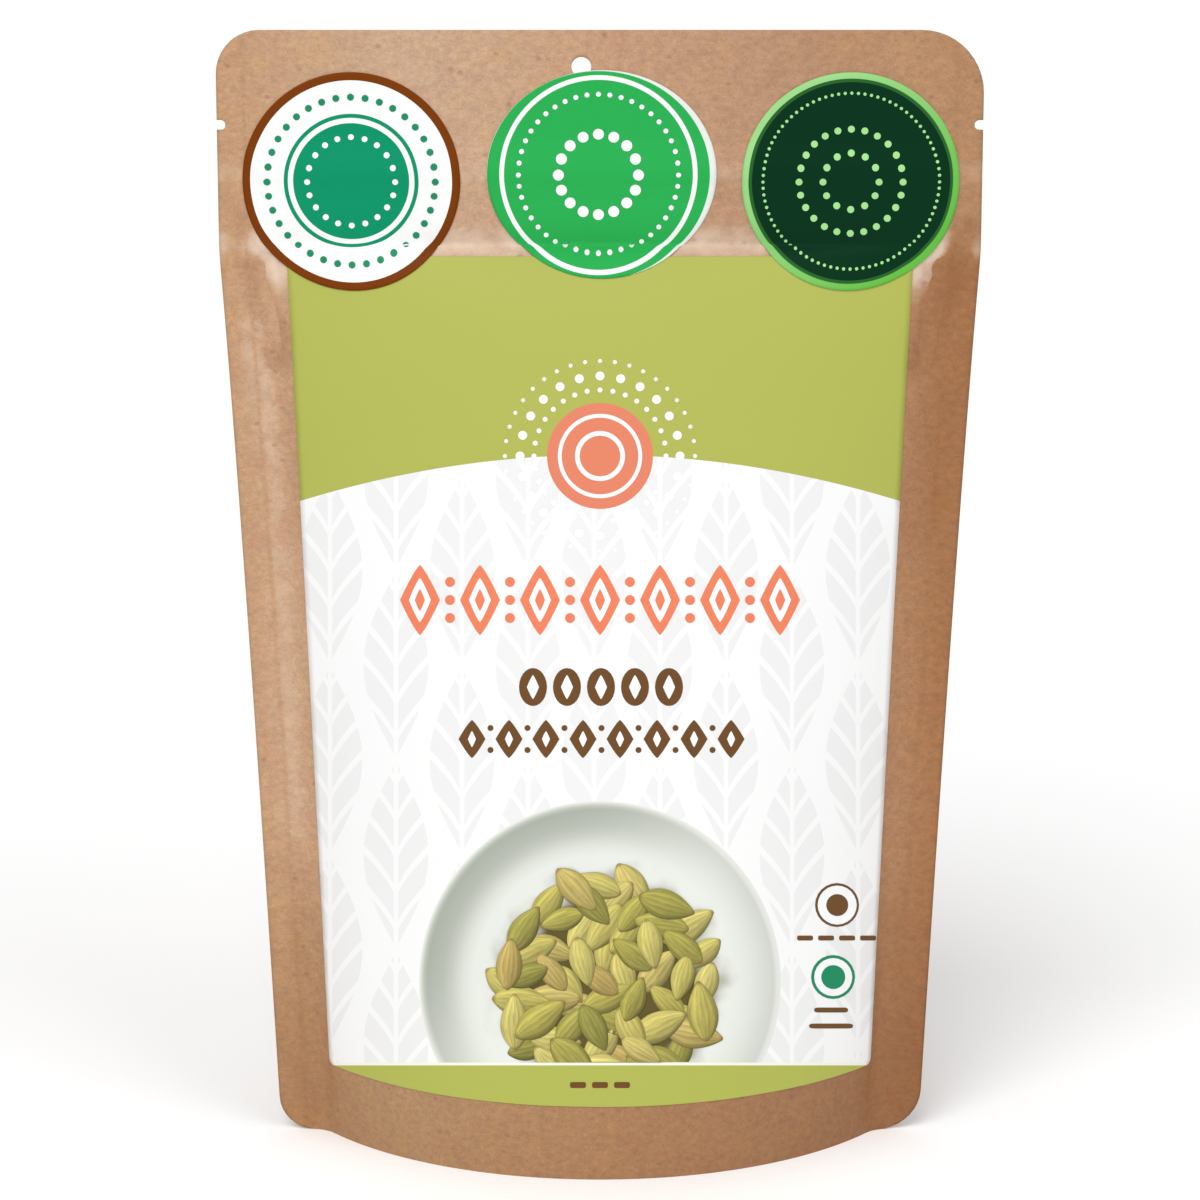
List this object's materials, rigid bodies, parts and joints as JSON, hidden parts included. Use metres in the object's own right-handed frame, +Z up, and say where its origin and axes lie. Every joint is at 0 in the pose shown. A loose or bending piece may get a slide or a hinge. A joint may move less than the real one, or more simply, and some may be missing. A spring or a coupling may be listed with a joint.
{
  "type": "stand-up pouch",
  "caption": "Filled brown paper stand-up pouch with a bottom gusset, a press-to-close zip under its header, a hang hole, tear notches, a front label and round stickers. It stands on its foot.",
  "frame": {"origin": "on the surface that the pouch stands on, under the middle of its box", "axes": "+Z up from the base to the top seal, the front label faces -Y, the width from side seal to side seal runs along X"},
  "size_m": [0.14, 0.0562, 0.211],
  "materials": {
    "brown_paper": "uncoated brown wrapping paper with short darker fibres, matt",
    "label_paper": "white coated paper printed in greens, coral and pale grey, satin",
    "ring_sticker": "glossy sticker printed in white, green and brown rings",
    "green_sticker": "glossy sticker printed green with a white ring",
    "dark_sticker": "glossy sticker printed dark green with a light green rim",
    "zip_plastic": "clear milky extruded polyethylene",
    "pod_husk": "dried green seed husk with lengthwise ribs, matt"
  },
  "bodies": {
    "root": {"front_panel": "brown_paper", "back_panel": "brown_paper", "bottom_gusset": "brown_paper", "front_label": "label_paper", "left_sticker": "ring_sticker", "middle_sticker": "green_sticker", "right_sticker": "dark_sticker", "zip_rib_track": "zip_plastic", "zip_groove_track": "zip_plastic", "cardamom_pods": "pod_husk"}
  },
  "joints": []
}
